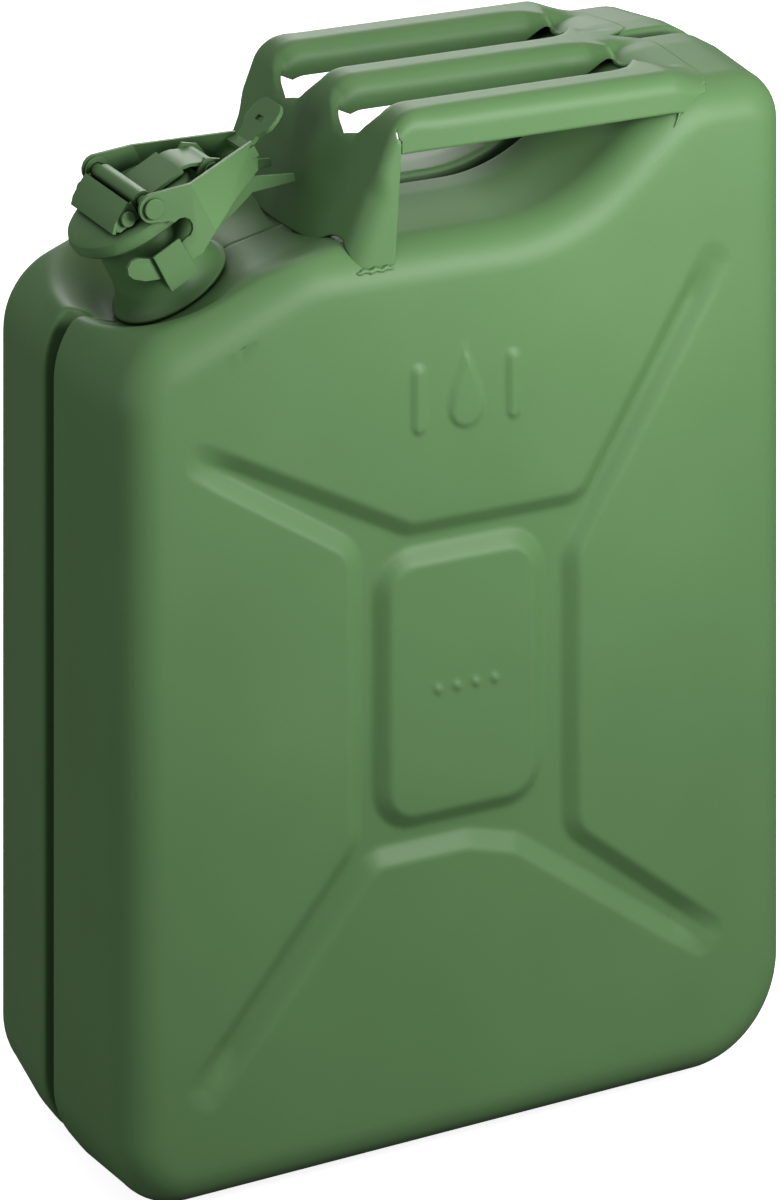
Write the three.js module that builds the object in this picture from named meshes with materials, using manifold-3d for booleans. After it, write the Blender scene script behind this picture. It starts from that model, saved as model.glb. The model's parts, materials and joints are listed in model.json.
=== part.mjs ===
// A 20 litre steel fuel can: two pressed shells welded along a sunken seam, a triple carrying handle,
// a slanted filler neck and a cam-lever lid. Millimetres, +Z up, X along the can's width (spout at -X),
// Y through its depth, origin at the middle of the base.
import * as THREE from "three";
import { mergeVertices } from "three/addons/utils/BufferGeometryUtils.js";
import Module from "manifold-3d";

const wasm = await Module();
wasm.setup();

// ---------- driving dimensions ----------
const HALF_WIDTH = 173; // can body, half of its width along X
const HALF_DEPTH = 78; // can body, half of its depth along Y
const SHEET = 0.9; // body sheet
const EDGE_ROUND = 20; // rounding from a broad face into the narrow sides
const DRAFT = 3.5; // how far the narrow sides draw in towards a broad face
const STRAIGHT_HALF = 25; // the narrow sides are straight up to this distance from the middle
const FRONT_CORNER = 37; // rounding of the bottom corner under the neck
const REAR_CORNER = 52; // rounding of the other bottom corner
const SHOULDER_TOP = 416; // top surface in the hand space under the handles
const HUMP_TOP = 467.5; // top surface of the air hump behind the handles
const HANDLE_TOP = 469.7; // highest point of the can
const GAP = 0.3; // air between neighbouring pieces
const SEAM_HALF = 5.5; // half width of the sunken seam
const SEAM_DEPTH = 7; // how far the seam flanges lie inside the outline
const LIP_ROUND = 2; // rounding of the lips along the seam
const PRESS_DEPTH = 4; // depth of the cross pressed into each broad face
const PRESS_SLANT = 3; // how far the sides of that pressing lean
const HANDLE_PITCH = 61.7; // distance between neighbouring handles
const HANDLE_WIDTH = 26.6;
const HANDLE_SHEET = 1.5;
const HANDLE_WALL = 15; // height of a handle's side walls
const NECK_TILT = THREE.MathUtils.degToRad(28.4); // neck leans towards -X
const NECK_FOOT = new THREE.Vector3(-112.8, 0, 384); // where the neck axis meets its seat
const NECK_RADIUS = 22;
const NECK_WALL = 1.5;
const NECK_HEIGHT = 40;
const FLANGE_RADIUS = 28.5;
const BOWL_DEPTH = 19; // the pressed bowl round the neck, measured along the neck axis
const BOWL_RIM = 52; // along the can's width
const BOWL_STRETCH = 1.25; // how much wider the bowl is across the can
const LID_RADIUS = 30.8;
const LEVER_PIVOT = [1.9, 52.2]; // lever pin, as distance behind the neck axis and height along it
const LID_PIVOT = [-8.5, 51.2]; // pin through the lid bracket
const REAR_PIVOT = [38, 40]; // hinge of the whole closure behind the neck
const LEVER_SPREAD = 31.5; // inner face of each lever cheek
const LEVER_SHEET = 2;
const ROUND_STEPS = 32; // segments in a full turn of large round pieces
const PIN_STEPS = 24; // and of the pins and their bores
const FITTING_SHEET = 1.6; // sheet of the brackets and the hinge arm
const FAR = 50; // longer than any small fitting is wide, for bores that run right through

// ---------- colours ----------
const OLIVE = { color: 0x5f7f55, roughness: 0.5, metalness: 0.1 };
const OLIVE_DARK = { color: 0x4c6a46, roughness: 0.55, metalness: 0.1 };
const RUBBER = { color: 0x1c1d1b, roughness: 0.9, metalness: 0 };
const BARE_STEEL = { color: 0x8c8f8a, roughness: 0.35, metalness: 0.9 };

// ---------- geometry helpers ----------
const v2 = (x, y) => new THREE.Vector2(x, y);

// Turns a closed geometry into a manifold solid, with its faces turned outwards.
function solid(geometry) {
  const bare = geometry.clone();
  bare.deleteAttribute("normal");
  bare.deleteAttribute("uv");
  const merged = mergeVertices(bare, 1e-4);
  const position = merged.attributes.position;
  const index = Array.from(merged.index.array);
  const corner = (i) => new THREE.Vector3().fromBufferAttribute(position, index[i]);
  let volume = 0;
  for (let i = 0; i < index.length; i += 3) volume += corner(i).dot(corner(i + 1).cross(corner(i + 2)));
  if (volume < 0) index.reverse();
  return new wasm.Manifold(
    new wasm.Mesh({
      numProp: 3,
      vertProperties: Float32Array.from(position.array),
      triVerts: Uint32Array.from(index),
    }),
  );
}

function geometryOf(manifold) {
  const mesh = manifold.getMesh();
  const geometry = new THREE.BufferGeometry();
  geometry.setAttribute("position", new THREE.BufferAttribute(Float32Array.from(mesh.vertProperties), 3));
  geometry.setIndex(Array.from(mesh.triVerts));
  geometry.computeVertexNormals();
  return geometry;
}

// Skins a row of sections. Each section is { outline: Vector2[], place: (Vector2) => Vector3 }.
function loft(sections) {
  const count = sections[0].outline.length;
  const points = sections.flatMap(({ outline, place }) => outline.map(place));
  const index = [];
  for (let s = 0; s + 1 < sections.length; s++) {
    for (let i = 0; i < count; i++) {
      const a = s * count + i;
      const b = s * count + ((i + 1) % count);
      index.push(a, b, b + count, a, b + count, a + count);
    }
  }
  const last = (sections.length - 1) * count;
  for (const [i, j, k] of THREE.ShapeUtils.triangulateShape(sections[0].outline, [])) index.push(k, j, i);
  for (const [i, j, k] of THREE.ShapeUtils.triangulateShape(sections.at(-1).outline, [])) {
    index.push(last + i, last + j, last + k);
  }
  const geometry = new THREE.BufferGeometry();
  geometry.setAttribute("position", new THREE.Float32BufferAttribute(points.flatMap((p) => p.toArray()), 3));
  geometry.setIndex(index);
  return geometry;
}

// Rounded outline of a counter-clockwise polygon with corners [x, y, radius, steps], moved inwards by inset.
function roundedOutline(corners, inset = 0) {
  const n = corners.length;
  const direction = corners.map(([x, y], i) => {
    const [nextX, nextY] = corners[(i + 1) % n];
    return v2(nextX - x, nextY - y).normalize();
  });
  return corners.flatMap(([x, y, radius, steps], i) => {
    const before = direction[(i + n - 1) % n];
    const after = direction[i];
    const turn = Math.atan2(before.cross(after), before.dot(after));
    const bisector = inset / Math.cos(turn / 2);
    const inward = v2(-before.y - after.y, before.x + after.x).normalize();
    const corner = v2(x, y).addScaledVector(inward, bisector);
    const r = Math.max(radius - Math.sign(turn) * inset, 0.02);
    const reach = r * Math.tan(Math.abs(turn) / 2);
    const centre = corner.clone().addScaledVector(before, -reach);
    centre.addScaledVector(v2(-before.y, before.x), Math.sign(turn) * r);
    const start = corner.clone().addScaledVector(before, -reach).sub(centre).angle();
    return Array.from({ length: steps + 1 }, (_, k) => {
      const angle = start + (turn * k) / steps;
      return v2(centre.x + r * Math.cos(angle), centre.y + r * Math.sin(angle));
    });
  });
}

// An outline in the X-Z plane, standing at a distance y from the middle plane.
const upright = (outline, y) => ({ outline, place: (p) => new THREE.Vector3(p.x, y, p.y) });

// A prism: outline in the X-Z plane, from y0 to y1.
const slab = (outline, y0, y1) => solid(loft([upright(outline, y0), upright(outline, y1)]));

const box = (x0, x1, y0, y1, z0, z1) => slab([v2(x0, z0), v2(x1, z0), v2(x1, z1), v2(x0, z1)], y0, y1);

function disc(x, z, radius, y0, y1, steps = ROUND_STEPS) {
  const outline = Array.from({ length: steps }, (_, i) => {
    const angle = (2 * Math.PI * i) / steps;
    return v2(x + radius * Math.cos(angle), z + radius * Math.sin(angle));
  });
  return slab(outline, y0, y1);
}

// Round piece about the local Z axis from a closed profile of [radius, height] pairs.
function turned(profile, steps = ROUND_STEPS) {
  const points = [...profile, profile[0]].map(([radius, height]) => v2(radius, height));
  return solid(new THREE.LatheGeometry(points, steps).rotateX(Math.PI / 2));
}

const joined = (first, ...rest) => rest.reduce((sum, next) => sum.add(next), first);
const inNeckFrame = (manifold) => {
  const geometry = geometryOf(manifold);
  geometry.rotateY(-NECK_TILT);
  geometry.translate(...NECK_FOOT.toArray());
  return solid(geometry);
};

// ---------- the can body ----------
const SHOULDER_SLOPE = 0.4; // rise per millimetre of the shoulder that carries the neck
const SHOULDER_END = -80.5; // where the shoulder meets the hand space
const BODY_CORNERS = [
  [-HALF_WIDTH, 0, FRONT_CORNER, 6],
  [HALF_WIDTH, 0, REAR_CORNER, 6],
  [HALF_WIDTH, HUMP_TOP, 27, 5],
  [112, HUMP_TOP, 50, 4],
  [50, SHOULDER_TOP, 80, 4],
  [SHOULDER_END, SHOULDER_TOP, 60, 3],
  [-HALF_WIDTH, SHOULDER_TOP - SHOULDER_SLOPE * (SHOULDER_END + HALF_WIDTH), 40, 5],
];
const EDGE_STEPS = 4;
const LIP_STEPS = 2;

// Sections of one half of the body, from its broad face to the seam; skin moves every surface inwards.
function bodySections(skin) {
  const section = (inset, y) => upright(roundedOutline(BODY_CORNERS, inset), y);
  const sections = [];
  const edge = EDGE_ROUND - skin;
  for (let i = 0; i <= EDGE_STEPS; i++) {
    const angle = (Math.PI / 2) * (i / EDGE_STEPS);
    const inset = DRAFT + EDGE_ROUND - edge * Math.sin(angle);
    sections.push(section(inset, -HALF_DEPTH + EDGE_ROUND - edge * Math.cos(angle)));
  }
  sections.push(section(skin, -STRAIGHT_HALF));
  const lip = skin ? LIP_ROUND - skin : LIP_ROUND;
  for (let i = 0; i <= LIP_STEPS; i++) {
    const angle = (Math.PI / 2) * (i / LIP_STEPS);
    const y = -SEAM_HALF - LIP_ROUND + lip * Math.sin(angle);
    sections.push(section(LIP_ROUND - lip * Math.cos(angle), y));
  }
  sections.push(section(SEAM_DEPTH + skin, -SEAM_HALF - skin));
  sections.push(section(SEAM_DEPTH + skin, skin ? 1 : -GAP / 2));
  return sections;
}

// The pressed cross: its outline runs round four arms and leaves four raised fields between them.
const CROSS = {
  left: -135,
  right: 129,
  waist: 52, // half width of the middle part
  topNotch: 283,
  bottomNotch: 141,
  sideTop: 272,
  sideBottom: 148,
};
const CROSS_CORNERS = [
  [-48, CROSS.bottomNotch, 14, 3],
  [0, CROSS.bottomNotch, 30, 2],
  [25, 134, 14, 2],
  [121, 66, 3, 2],
  [CROSS.right, 73, 3, 2],
  [CROSS.waist, CROSS.bottomNotch - 8, 16, 3],
  [CROSS.waist, CROSS.sideTop - 12, 20, 3],
  [CROSS.right + 4, 383, 4, 2],
  [CROSS.right - 4, 388, 4, 2],
  [58, CROSS.topNotch, 14, 3],
  [-30, CROSS.topNotch, 14, 3],
  [CROSS.left - 2, 338, 3, 2],
  [CROSS.left, 329, 3, 2],
  [-CROSS.waist - 4, CROSS.sideTop + 8, 16, 3],
  [-CROSS.waist - 4, CROSS.sideBottom, 18, 3],
  [CROSS.left - 1, 57, 3, 2],
  [CROSS.left + 7, 51, 3, 2],
];
const PANEL_CENTRE = [-3.5, 212];
const PANEL_HALF = [41.5, 61];
const PANEL_ROUND = 18;

function panelOutline(inset) {
  const [cx, cz] = PANEL_CENTRE;
  const [hx, hz] = PANEL_HALF;
  const signs = [[-1, -1], [1, -1], [1, 1], [-1, 1]];
  const corners = signs.map(([sx, sz]) => [cx + sx * hx, cz + sz * hz, PANEL_ROUND, 4]);
  return roundedOutline(corners, inset);
}

// A block with slanted sides, from just outside the broad face down to depth; grow widens it all round.
function pressing(outlineAt, depth, grow) {
  const above = 1;
  const section = (inset, y) => upright(outlineAt(inset), y);
  const slant = PRESS_SLANT / PRESS_DEPTH;
  return solid(
    loft([
      section(-slant * above - grow, -HALF_DEPTH - above),
      section(slant * depth - grow, -HALF_DEPTH + depth),
    ]),
  );
}

function withCross(shell) {
  const crossAt = (inset) => roundedOutline(CROSS_CORNERS, inset);
  const inside = -HALF_DEPTH + SHEET / 2;
  const backing = pressing(crossAt, PRESS_DEPTH + SHEET, SHEET + 0.4).intersect(
    box(-HALF_WIDTH, HALF_WIDTH, inside, 0, 0, HUMP_TOP),
  );
  const panelBlock = (skin) => {
    const at = (inset, y) => upright(panelOutline(inset), y);
    const floor = -HALF_DEPTH + PRESS_DEPTH + (skin ? 2 : SHEET);
    return solid(loft([at(skin, floor), at(PRESS_SLANT + skin, -HALF_DEPTH + SHEET + skin)]));
  };
  const pressed = shell.add(backing).subtract(pressing(crossAt, PRESS_DEPTH, 0));
  return pressed.add(panelBlock(0)).subtract(panelBlock(SHEET));
}

// Cutter for the bowl round the neck; skin makes it larger and deeper.
function bowlCutter(skin) {
  const wallSlope = (BOWL_RIM - FLANGE_RADIUS - 2) / BOWL_DEPTH;
  const top = BOWL_DEPTH + 25;
  const foot = FLANGE_RADIUS + 2 + skin;
  const cone = turned([[0, -skin], [foot, -skin], [foot + wallSlope * top, top], [0, top]]);
  return inNeckFrame(solid(geometryOf(cone).scale(1, BOWL_STRETCH, 1)));
}

// The shoulder is dished between the neck and the handles: floor height and half width of its floor along X.
const DISH = [
  { x: -130, floor: 391, half: 20 },
  { x: -95, floor: 395, half: 30 },
  { x: -60, floor: 403, half: 32 },
  { x: -28, floor: 419, half: 28 },
];
const DISH_SIDE = 28; // width of each sloping side of the dish
const DISH_SLOPE = 0.34; // rise of those sides per millimetre

// Cutter for that dish; skin makes it larger and deeper.
function dishCutter(skin) {
  const above = 40;
  const section = ({ x, floor, half }) => {
    const bottom = floor - skin;
    const rim = bottom + DISH_SIDE * DISH_SLOPE;
    const wide = half + skin;
    const side = [v2(wide, bottom), v2(wide + DISH_SIDE, rim), v2(wide + DISH_SIDE + 1, rim + above)];
    const other = side.map((p) => v2(-p.x, p.y)).reverse();
    return { outline: [...side, ...other], place: (p) => new THREE.Vector3(x, p.x, p.y) };
  };
  return solid(loft(DISH.map(section)));
}

function frontShell() {
  const outer = solid(loft(bodySections(0))).subtract(bowlCutter(0)).subtract(dishCutter(0));
  const inner = solid(loft(bodySections(SHEET))).subtract(bowlCutter(SHEET)).subtract(dishCutter(SHEET));
  const holeRadius = NECK_RADIUS - 1 + GAP;
  const hole = inNeckFrame(turned([[0, -20], [holeRadius, -20], [holeRadius, 20], [0, 20]]));
  return withCross(outer.subtract(inner).subtract(hole));
}

const mirrored = (geometry) => geometryOf(solid(geometry.clone().scale(1, -1, 1)));

// The weld bead lies in the sunken seam and stops at the bowl.
function seamWeld() {
  const section = (inset, y) => upright(roundedOutline(BODY_CORNERS, inset), y);
  const foot = SEAM_DEPTH - GAP;
  const crown = SEAM_DEPTH - 2.6;
  const outer = solid(loft([section(foot, -2.6), section(crown, -1), section(crown, 1), section(foot, 2.6)]));
  const core = solid(loft([section(foot, -4), section(foot, 4)]));
  return outer.subtract(core).subtract(bowlCutter(SHEET + GAP)).subtract(dishCutter(SHEET + GAP));
}

// ---------- the neck and its fittings ----------
function neck() {
  const outer = NECK_RADIUS;
  const bore = outer - 1 - NECK_WALL;
  return turned([
    [bore, -6],
    [outer - 1, -6],
    [outer - 1, GAP],
    [FLANGE_RADIUS, GAP],
    [FLANGE_RADIUS, GAP + 2],
    [outer + 4, GAP + 3.2],
    [outer + 1.4, 9],
    [outer, 17],
    [outer, NECK_HEIGHT - 1],
    [outer - 0.9, NECK_HEIGHT],
    [bore + 0.4, NECK_HEIGHT],
    [bore, NECK_HEIGHT - 1],
  ]);
}

// A loop plate beside the neck that guides the lever's hook; its lower web is welded to the neck.
const STRAP = { front: -9, back: 5.5, low: 15, high: 34, inner: 34.2, sheet: 1.5 };

// A slab between two distances from the middle plane, on the near side (-1) or the far side (1).
function sideSlab(outline, side, near, far) {
  return side < 0 ? slab(outline, -far, -near) : slab(outline, near, far);
}

function strap(side) {
  const { front, back, low, high, inner, sheet } = STRAP;
  const outer = inner + sheet;
  const root = NECK_RADIUS + 2 * GAP;
  const plate = [v2(front, low), v2(back, low), v2(back, high), v2(front, high)];
  const web = [v2(front, low), v2(back, low), v2(back, low + sheet), v2(front, low + sheet)];
  return sideSlab(plate, side, inner, outer).add(sideSlab(web, side, root, outer));
}

function hingeBracket() {
  const ear = [[22.7, 14], [36, 16], [50, 19], [70, 10.5], [71, 14], [52, 26], [46, 32], [44, 42], [38, 47],
    [31.5, 43], [28.5, 35.5], [22.7, 33]];
  const outline = ear.map(([u, h]) => v2(u, h));
  const spread = 12; // inner face of each ear
  const sheet = FITTING_SHEET;
  const hole = disc(...REAR_PIVOT, HINGE_PIN_RADIUS + GAP, -FAR, FAR, PIN_STEPS);
  const front = NECK_RADIUS + 0.7;
  const back = box(front, front + sheet, -spread - sheet, spread + sheet, 14, 33);
  const ears = [-1, 1].map((side) => sideSlab(outline, side, spread, spread + sheet));
  return joined(back, ...ears).subtract(hole);
}

function ventTube() {
  const path = new THREE.CatmullRomCurve3([
    new THREE.Vector3(14, 0, 35),
    new THREE.Vector3(14, 0, 10),
    new THREE.Vector3(15, 0, -8),
    new THREE.Vector3(28, 0, -17),
    new THREE.Vector3(48, 0, -22),
  ]);
  const ring = new THREE.Shape().absarc(0, 0, 4.2, 0, 2 * Math.PI);
  ring.holes.push(new THREE.Path().absarc(0, 0, 3.3, 0, 2 * Math.PI, true));
  return solid(new THREE.ExtrudeGeometry(ring, { steps: 14, curveSegments: 6, extrudePath: path }));
}

// ---------- the lid ----------
function lid() {
  const r = LID_RADIUS;
  return turned([
    [r - 2.2, 37.5],
    [r, 42],
    [r - 0.8, 44.6],
    [r - 5, 46.7],
    [14, 47.2],
    [0, 47.2],
    [0, 45.8],
    [14, 45.8],
    [r - 5.4, 45.3],
    [r - 2.2, 43.6],
    [r - 1.6, 42],
    [r - 3.6, 37.5],
  ]);
}

const gasket = () => turned([[17, 40.4], [24, 40.4], [24, 44.2], [22.5, 45.1], [18, 45.4], [17, 44.2]]);

// A strip of sheet that follows a path of [distance, height] points, as wide as 2 * halfWidth.
function strip(path, thickness, halfWidth) {
  const along = path.map(([u, h]) => v2(u, h));
  const normal = along.map((p, i) => {
    const before = along[Math.max(i - 1, 0)];
    const after = along[Math.min(i + 1, along.length - 1)];
    const d = after.clone().sub(before).normalize();
    return v2(-d.y, d.x);
  });
  const top = along.map((p, i) => p.clone().addScaledVector(normal[i], thickness / 2));
  const bottom = along.map((p, i) => p.clone().addScaledVector(normal[i], -thickness / 2)).reverse();
  return slab([...top, ...bottom].reverse(), -halfWidth, halfWidth);
}

const LID_PIN_RADIUS = 2;
const HINGE_PIN_RADIUS = 2.5;
const LEVER_PIN_RADIUS = 3;

function lidBracket() {
  const sheet = FITTING_SHEET;
  const halfWidth = 24;
  const roof = strip([[-17, 48.6], [-14.5, 51.4], [-9, 54.6], [-4.5, 56.6]], sheet, halfWidth);
  const corners = [[-15.5, 48.4], [-3.2, 48.4], [-3.2, 56.2], [-9, 54], [-14.5, 50.8]];
  const cheek = corners.map(([u, h]) => v2(u, h));
  const hole = disc(...LID_PIVOT, LID_PIN_RADIUS + GAP, -FAR, FAR, PIN_STEPS);
  return joined(
    roof,
    slab(cheek, -halfWidth, -halfWidth + sheet),
    slab(cheek, halfWidth - sheet, halfWidth),
    box(-14.5, -3.2, -halfWidth, halfWidth, 47.5, 48.9),
  ).subtract(hole);
}

// The arm that joins the lid to the rear hinge: a sleeve over the lever pin, a strap and a barrel.
function hingeArm() {
  const tail = 11.7; // half the width of the barrel and of the strap's narrow end
  const sleeve = disc(...LEVER_PIVOT, 4.7, -22, 22, PIN_STEPS);
  const wide = strip([[3, 48.7], [15, 48.7], [26, 48.7]], FITTING_SHEET, 15);
  const narrow = strip([[24, 48.7], [27.5, 48.5], [31, 47.4], [35, 45], [38, 43.6]], FITTING_SHEET, tail);
  const barrel = disc(...REAR_PIVOT, 4.4, -tail, tail, PIN_STEPS);
  const fillet = box(33, 38, -tail, tail, 40.5, 44);
  const bores = disc(...REAR_PIVOT, HINGE_PIN_RADIUS + GAP, -FAR, FAR, PIN_STEPS).add(leverBore());
  return joined(sleeve, wide, narrow, barrel, fillet).subtract(bores);
}

// A pin along Y with a flat head at each end.
function headedPin([u, h], radius, halfLength, headRadius, headThickness) {
  const end = halfLength + headThickness;
  const part = (size, y0, y1) => disc(u, h, size, y0, y1, PIN_STEPS);
  return joined(
    part(radius, -halfLength, halfLength),
    part(headRadius, -end, -halfLength),
    part(headRadius, halfLength, end),
  );
}

const leverBore = () => disc(...LEVER_PIVOT, LEVER_PIN_RADIUS + GAP, -FAR, FAR, PIN_STEPS);

// ---------- the lever ----------
const BEND_START = 22; // the cheeks run straight up to here, then close in towards the thumb tab
const CLOSE_IN = 0.6; // sideways travel per millimetre behind the bend
const HOOK = { inner: 22.3, outer: 33, tip: 32 };

function arc([cx, cz], radius, from, to, steps) {
  return Array.from({ length: steps + 1 }, (_, i) => {
    const angle = THREE.MathUtils.degToRad(from + ((to - from) * i) / steps);
    return v2(cx + radius * Math.cos(angle), cz + radius * Math.sin(angle));
  });
}

function leverCheek(side) {
  const notch = [9.2, 35.6];
  const front = [
    ...arc(LEVER_PIVOT, 6.6, 78, 255, 8),
    v2(5.5, 42.6),
    ...arc(notch, 5.2, 110, -70, 6),
    ...arc(LEVER_PIVOT, HOOK.inner, -72, -134, 5),
    ...arc([-17.2, 33.2], 4.6, 60, 220, 4),
    ...arc(LEVER_PIVOT, HOOK.outer - 1, -125, -80, 4),
    v2(12, 20.2),
    v2(BEND_START, 25),
    v2(BEND_START, 50.9),
  ];
  const rear = [[BEND_START, 25], [40, 26.4], [57.5, 25.6], [60, 30], [61.5, 37.6], [BEND_START, 50.9]];
  const back = rear.map(([u, h]) => v2(u, h));
  const inner = LEVER_SPREAD;
  const outer = LEVER_SPREAD + LEVER_SHEET;
  const cheek = (outline) => {
    const shaped = (y) => ({
      outline,
      place: (p) => new THREE.Vector3(p.x, side * (y - CLOSE_IN * Math.max(p.x - BEND_START, 0)), p.y),
    });
    return solid(loft([shaped(inner), shaped(outer)]));
  };
  return cheek(front).add(cheek(back));
}

function lever() {
  const tabLean = THREE.MathUtils.degToRad(17);
  const root = [58.5, 33.5];
  const along = (distance, lift) => [
    root[0] + distance * Math.cos(tabLean) - lift * Math.sin(tabLean),
    root[1] + distance * Math.sin(tabLean) + lift * Math.cos(tabLean),
  ];
  // One side of the thumb tab, from its root outwards.
  const half = [[-2, 9, 2, 2], [8, 7, 6, 2], [12, 13, 5, 3], [25, 12, 7, 4]];
  const other = half.map(([distance, across, radius, steps]) => [distance, -across, radius, steps]);
  const outline = roundedOutline([...other, ...half.reverse()]);
  const plate = (lift) => ({
    outline,
    place: (p) => {
      const [u, h] = along(p.x, lift);
      return new THREE.Vector3(u, p.y, h);
    },
  });
  const tab = solid(loft([plate(0), plate(LEVER_SHEET)]));
  const bridge = box(56.5, 61, -12, 12, 31, 36.4);
  const slotCorners = [[13.5, -3.5], [16.5, -3.5], [16.5, 3.5], [13.5, 3.5]];
  const slotAt = (lift) => ({
    outline: roundedOutline(slotCorners.map((at) => [...at, 1.3, 2])),
    place: plate(lift).place,
  });
  const slot = solid(loft([slotAt(-2), slotAt(LEVER_SHEET + 2)]));
  return joined(leverCheek(-1), leverCheek(1), bridge, tab).subtract(slot).subtract(leverBore());
}

function washer(side) {
  const inner = side * (LEVER_SPREAD - 1.4);
  const outer = side * (LEVER_SPREAD - GAP);
  const ring = disc(...LEVER_PIVOT, 5.8, Math.min(inner, outer), Math.max(inner, outer), PIN_STEPS);
  return ring.subtract(leverBore());
}

// ---------- the handles ----------
const PLATE_FOOT = v2(-59.5, 406); // a point on the front plate's outer face, level with the legs' feet
const PLATE_LEAN = 0.4; // how far the front plate leans back per millimetre of height
const HANDLE_BEND = 18; // radius of the bend from the front plate into the grips
const LEG_FOOT = 404; // lower end of the two outer legs
const HANDLE_REAR = 112; // where the handles run out over the hump
const plateX = (z) => PLATE_FOOT.x + (z - PLATE_FOOT.y) * PLATE_LEAN;

// Path of a handle's top surface: up the slanted front, round the bend, back to the hump.
function handlePath() {
  const turn = Math.PI / 2 - Math.atan(PLATE_LEAN);
  const crown = HANDLE_TOP - HANDLE_BEND;
  const bendEnd = plateX(HANDLE_TOP) + HANDLE_BEND * Math.tan(turn / 2);
  const steps = 5;
  const start = 445;
  const points = [v2(plateX(start), start)];
  for (let i = 0; i <= steps; i++) {
    const angle = Math.PI / 2 + turn - (turn * i) / steps;
    points.push(v2(bendEnd + HANDLE_BEND * Math.cos(angle), crown + HANDLE_BEND * Math.sin(angle)));
  }
  points.push(v2(30, HANDLE_TOP), v2(96, HANDLE_TOP), v2(HANDLE_REAR, HANDLE_TOP - 1.2));
  return points;
}

function pathFrames(points) {
  return points.map((p, i) => {
    const before = points[Math.max(i - 1, 0)];
    const after = points[Math.min(i + 1, points.length - 1)];
    const along = after.clone().sub(before).normalize();
    return { at: p, down: v2(along.y, -along.x) };
  });
}

// A channel along the handle path; section points are [across, below the path].
function channel(section, y, points) {
  const outline = section.map(([across, below]) => v2(across, below));
  return solid(
    loft(
      pathFrames(points).map(({ at, down }) => ({
        outline,
        place: (p) => new THREE.Vector3(at.x + down.x * p.y, y + p.x, at.y + down.y * p.y),
      })),
    ),
  );
}

function handleTop(y) {
  const half = HANDLE_WIDTH / 2;
  const t = HANDLE_SHEET;
  const c = 4;
  const section = [
    [-half, HANDLE_WALL], [-half, c], [-half + c * 0.3, c * 0.3], [-half + c, 0], [half - c, 0],
    [half - c * 0.3, c * 0.3], [half, c], [half, HANDLE_WALL], [half - t, HANDLE_WALL], [half - t, c],
    [half - c, t], [-half + c, t], [-half + t, c], [-half + t, HANDLE_WALL],
  ];
  return channel(section, y, handlePath());
}

function gripLiner(y) {
  const half = HANDLE_WIDTH / 2 - HANDLE_SHEET - GAP;
  const t = 1.2;
  const low = HANDLE_WALL - 0.5;
  const section = [
    [-half, 7], [-half + t, 7], [-half + t, low - t], [half - t, low - t], [half - t, 7], [half, 7],
    [half, low - 1], [half - 1, low], [-half + 1, low], [-half, low - 1],
  ];
  return channel(section, y, [v2(-8, HANDLE_TOP), v2(30, HANDLE_TOP), v2(78, HANDLE_TOP)]);
}

function handleFrame() {
  const halfSpan = HANDLE_PITCH + HANDLE_WIDTH / 2;
  const t = HANDLE_SHEET;
  const foot = 404.5; // lower edge of the front plate, in the dish of the shoulder
  const top = 451; // where the slots between the handles begin
  const through = t * Math.hypot(1, PLATE_LEAN); // the plate's thickness measured along X
  const front = [v2(plateX(foot), foot), v2(plateX(top), top)];
  const rearFace = front.map((p) => v2(p.x + through, p.y)).reverse();
  const plate = [...front, ...rearFace].reverse();
  const legBack = -35;
  const legFoot = v2(plateX(LEG_FOOT), LEG_FOOT);
  const legTop = [v2(legBack, 456), v2(legBack, 461), v2(plateX(457), 457)];
  const cheek = [legFoot, v2(legBack - 2, LEG_FOOT), ...legTop];
  const bed = HUMP_TOP + GAP;
  const upper = [v2(132, bed + t), v2(118, bed + t), v2(106, HANDLE_TOP - 0.15), v2(86, HANDLE_TOP - 0.1)];
  const rear = [v2(86, HANDLE_TOP - t), v2(104, HANDLE_TOP - t), v2(118, bed), v2(134, bed), ...upper];
  const half = loft(bodySections(-GAP));
  const body = solid(half).add(solid(half.clone().scale(1, -1, 1))).subtract(dishCutter(-GAP));
  const seamSpace = box(60, HALF_WIDTH, -SEAM_HALF - 3.5, SEAM_HALF + 3.5, 0, bed);
  return joined(
    slab(plate, -halfSpan, halfSpan),
    slab(cheek, -halfSpan, -halfSpan + t),
    slab(cheek, halfSpan - t, halfSpan),
    slab(rear, -halfSpan + 0.5, halfSpan - 0.5),
    ...[-1, 0, 1].map((i) => handleTop(i * HANDLE_PITCH)),
  )
    .subtract(body)
    .subtract(seamSpace);
}

// ---------- assembly ----------
const can = new THREE.Group();
const closure = new THREE.Group();
closure.rotation.y = -NECK_TILT;
closure.position.copy(NECK_FOOT);
can.add(closure);

function piece(name, shape, finish, group = can) {
  const geometry = shape.isBufferGeometry ? shape : geometryOf(shape);
  const mesh = new THREE.Mesh(geometry, new THREE.MeshStandardMaterial(finish));
  mesh.name = name;
  group.add(mesh);
}

const shellGeometry = geometryOf(frontShell());
piece("front_shell", shellGeometry, OLIVE);
piece("rear_shell", mirrored(shellGeometry), OLIVE);
piece("seam_weld", seamWeld(), OLIVE_DARK);
piece("handle_frame", handleFrame(), OLIVE);
[["near", -1], ["middle", 0], ["far", 1]].forEach(([where, i]) => {
  piece(`grip_liner_${where}`, gripLiner(i * HANDLE_PITCH), OLIVE_DARK);
});
piece("neck", neck(), OLIVE, closure);
piece("vent_tube", ventTube(), BARE_STEEL, closure);
piece("strap_near", strap(-1), OLIVE, closure);
piece("strap_far", strap(1), OLIVE, closure);
piece("hinge_bracket", hingeBracket(), OLIVE, closure);
piece("hinge_pin", headedPin(REAR_PIVOT, 2.5, 14, 4, 1.4), OLIVE_DARK, closure);
piece("hinge_arm", hingeArm(), OLIVE, closure);
piece("lid", lid(), OLIVE, closure);
piece("gasket", gasket(), RUBBER, closure);
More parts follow.
